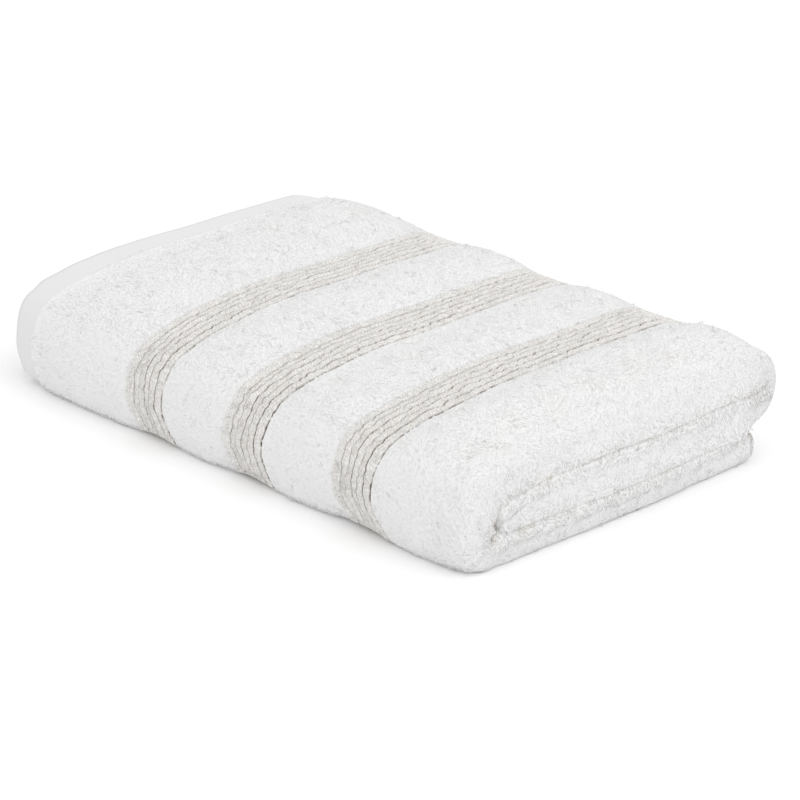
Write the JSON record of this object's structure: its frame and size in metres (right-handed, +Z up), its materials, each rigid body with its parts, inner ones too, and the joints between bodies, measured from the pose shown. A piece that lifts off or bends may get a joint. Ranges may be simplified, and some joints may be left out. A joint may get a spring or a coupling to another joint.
{
  "type": "hand towel",
  "caption": "Folded hand towel of thick white terry with ribbed woven bands across it, for drying hands, lying flat.",
  "frame": {"origin": "middle of the folded towel's footprint, on the surface it rests on", "axes": "+X along the folded towel to its rolled near end, +Y across it from the front fold to the back fold, +Z up"},
  "size_m": [0.285, 0.1838, 0.052],
  "materials": {
    "terry": "white cotton terry with a soft looped pile, woven grey-beige corded bands and a flat hem"
  },
  "bodies": {
    "root": {"towel": "terry"}
  },
  "joints": []
}
